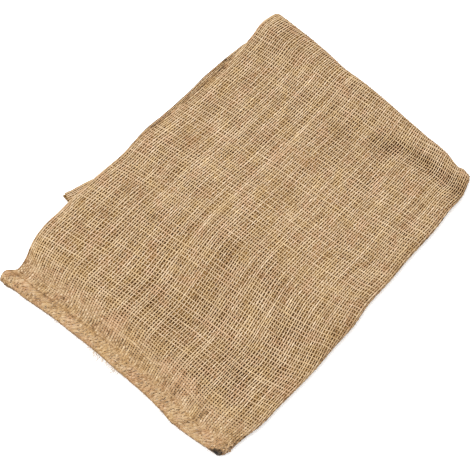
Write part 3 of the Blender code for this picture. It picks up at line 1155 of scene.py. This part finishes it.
@dataclass
class LooseFibres:
    """Jute hairs: some lie on the cloth, and some stick out past its edges."""

    fold: SackFold
    finish: Material
    seed: int = 51
    on_top: int = 2200
    on_roll: int = 1300
    on_underside: int = 300
    shortest: float = 2.5
    longest: float = 9.0
    radius: float = 0.1
    roll_thickness: float = 2.2
    height: float = 2.35
    lift: float = 0.45
    points: int = 5
    curl: float = 0.35
    stray: float = 0.45
    floor: float = 0.3 * MM
    ceiling: float = 16.5 * MM

    def make(self) -> Piece:
        """Make all the hairs as one piece."""
        rng = np.random.default_rng(self.seed)
        half = self.fold.half_width
        threads = self.lying(rng, self.on_top, (-10.0, half), (14.0, 384.0))
        threads += self.lying(rng, self.on_roll, (-half, half), (-3.5, 14.0), self.roll_thickness)
        threads += self.lying(rng, self.on_underside, (0.0, half), (395.0, 655.0))
        for side in EDGE_SIDES:
            threads += self.standing_out(rng, side)
        return spin_threads("loose_fibres", threads, 0, self.finish)

    def lying(self, rng: Random, count: int, across: Span, along: Span,
              thickness: float = 1.0) -> list[Thread]:
        """Return hairs that lie on the cloth in loose arcs.

        Args:
            rng: The source of their places.
            count: How many.
            across: The stretch of s that they start in.
            along: The stretch of t that they start in.
            thickness: How many times thicker than a single hair they are.
        """
        threads = []
        step = np.arange(self.points)
        for _ in range(count):
            stride = rng.uniform(self.shortest, self.longest) / (self.points - 1)
            heading = rng.uniform(0, math.tau) + np.cumsum(rng.normal(0.0, self.curl, self.points))
            s = rng.uniform(*across) + stride * np.cumsum(np.cos(heading))
            t = rng.uniform(*along) + stride * np.cumsum(np.sin(heading))
            s = np.clip(s, across[0], across[1])
            lift = self.lift * rng.uniform(0, 1)
            h = self.height + lift * np.sin(step * rng.uniform(0.4, 1.2) + rng.uniform(0, 3))**2
            spots = self.fold.place(s, t, h)
            spots[:, 2] = np.maximum(spots[:, 2], self.floor * thickness)
            threads.append(self.hair(spots, rng, thickness))
        return threads

    def standing_out(self, rng: Random, side: EdgeSide) -> list[Thread]:
        """Return hairs that stick out past one edge.

        Args:
            rng: The source of their places.
            side: The edge.
        """
        threads = []
        reach = np.linspace(0.0, 1.0, self.points)[:, None]
        for _ in range(side.hairs):
            s = rng.uniform(side.s_from, side.s_to)
            t = rng.uniform(side.t_from, side.t_to)
            height = self.fold.pocket * rng.uniform(0, 1)
            root = self.fold.place(np.array([s]), np.array([t]), np.array([height]))
            out = np.array([side.out_x, side.out_y, 0.0]) + rng.normal(0.0, self.stray, 3)
            bend = rng.normal(0.0, self.curl, 3)
            length = rng.uniform(0.35, 1.0) * side.longest * MM
            spots = root + length * (out * reach + bend * reach**2)
            spots[:, 2] = np.clip(spots[:, 2], self.floor, self.ceiling)
            threads.append(self.hair(spots, rng))
        return threads

    def hair(self, spots: Array, rng: Random, thickness: float = 1.0) -> Thread:
        """Return one hair through these places, thin at its end."""
        radii = thickness * self.radius * rng.uniform(0.7, 1.3) * np.linspace(1.0, 0.5, self.points)
        shades = np.full(self.points, rng.uniform(0.3, 0.9))
        return Thread(spots, radii, shades, np.zeros(self.points))


def unbroken(inside: Array) -> list[tuple[int, int]]:
    """Return the start and the end of each unbroken stretch of true values."""
    padded = np.concatenate(([False], inside, [False]))
    changes = np.flatnonzero(padded[1:] != padded[:-1])
    return [(int(start), int(end)) for start, end in zip(changes[::2], changes[1::2])]


@dataclass
class Studio:
    """A pale floor, soft light and a camera at the photograph's angle."""

    azimuth: float = -47.5
    elevation: float = 75.0
    view_angle: float = 25.0
    distance: float = 1.0035
    aim: tuple[float, float, float] = (-0.0114, -0.0045, 0.010)
    floor_size: float = 12.0
    floor_drop: float = 0.0003
    light_power: float = 78.5
    light_size: float = 2.4
    light_at: tuple[float, float, float] = (-0.1, 0.45, 2.3)
    sky_strength: float = 0.74
    filter_pixels: float = 1.25

    def direction(self) -> Vector:
        """Return the way from the aim to the camera."""
        turn = math.radians(self.azimuth)
        lift = math.radians(self.elevation)
        return Vector((math.sin(turn) * math.cos(lift), -math.cos(turn) * math.cos(lift), math.sin(lift)))

    def make_camera(self) -> None:
        """Make the camera and give it to the scene."""
        data = bpy.data.cameras.new("camera")
        data.angle = math.radians(self.view_angle)
        camera = add_object("camera", data)
        camera.location = Vector(self.aim) + self.direction() * self.distance
        camera.rotation_euler = self.direction().to_track_quat("Z", "Y").to_euler()
        bpy.context.scene.camera = camera

    def make_floor(self) -> None:
        """Make the floor just below the sack."""
        mesh = bmesh.new()
        bmesh.ops.create_grid(mesh, x_segments=1, y_segments=1, size=self.floor_size / 2)
        bmesh.ops.translate(mesh, verts=mesh.verts, vec=(0.0, 0.0, -self.floor_drop))
        floor = add_mesh("floor", mesh, PaleFloorFinish().make())

    def make_lights(self) -> None:
        """Make one large soft light from the photo's upper left, and an even white sky."""
        data = bpy.data.lights.new("soft_light", "AREA")
        data.energy = self.light_power
        data.size = self.light_size
        light = add_object("soft_light", data)
        light.location = Vector(self.light_at)
        light.rotation_euler = light.location.to_track_quat("Z", "Y").to_euler()
        world = bpy.data.worlds.new("white_room")
        world.use_nodes = True
        sky = world.node_tree.nodes["Background"]
        sky.inputs["Color"].default_value = (1.0, 1.0, 1.0, 1.0)
        sky.inputs["Strength"].default_value = self.sky_strength
        scene = bpy.context.scene
        scene.world = world
        scene.view_settings.view_transform = "Standard"
        scene.cycles.filter_width = self.filter_pixels
        scene.cycles.use_denoising = False


def main() -> None:
    """Build the sack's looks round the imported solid."""
    logging.basicConfig(level=logging.INFO, format="%(name)s: %(message)s")
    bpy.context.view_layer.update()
    fold = SackFold()
    low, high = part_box(NODE)
    fold.centre_on(low, high)
    studio = Studio()
    studio.make_camera()
    studio.make_floor()
    studio.make_lights()
    cloth_finish = InnerClothFinish("hessian_in_shade", "341c04", "94703c", "5d4326", "a98658").make()
    finishes = {
        YarnRun.WARP: JuteYarnFinish(
            "jute_warp_yarn", "553a18", "977853", "b39a78", "d5bfa3", "ab8a62").make(),
        YarnRun.WEFT: JuteYarnFinish(
            "jute_weft_yarn", "513816", "90724d", "ab906e", "c9b294", "a6845b").make(),
    }
    cloth = PocketCloth(fold, cloth_finish).make()
    LOG.info("cloth: %d faces", len(cloth.data.polygons))
    yarns = []
    for face in woven_faces(fold):
        yarns += YarnLayer(fold, face, finishes).make()
    yarns.append(SeamStitches(fold, finishes[YarnRun.WEFT]).make())
    yarns.append(LooseFibres(fold, finishes[YarnRun.WARP]).make())


if __name__ == "__main__":
    main()
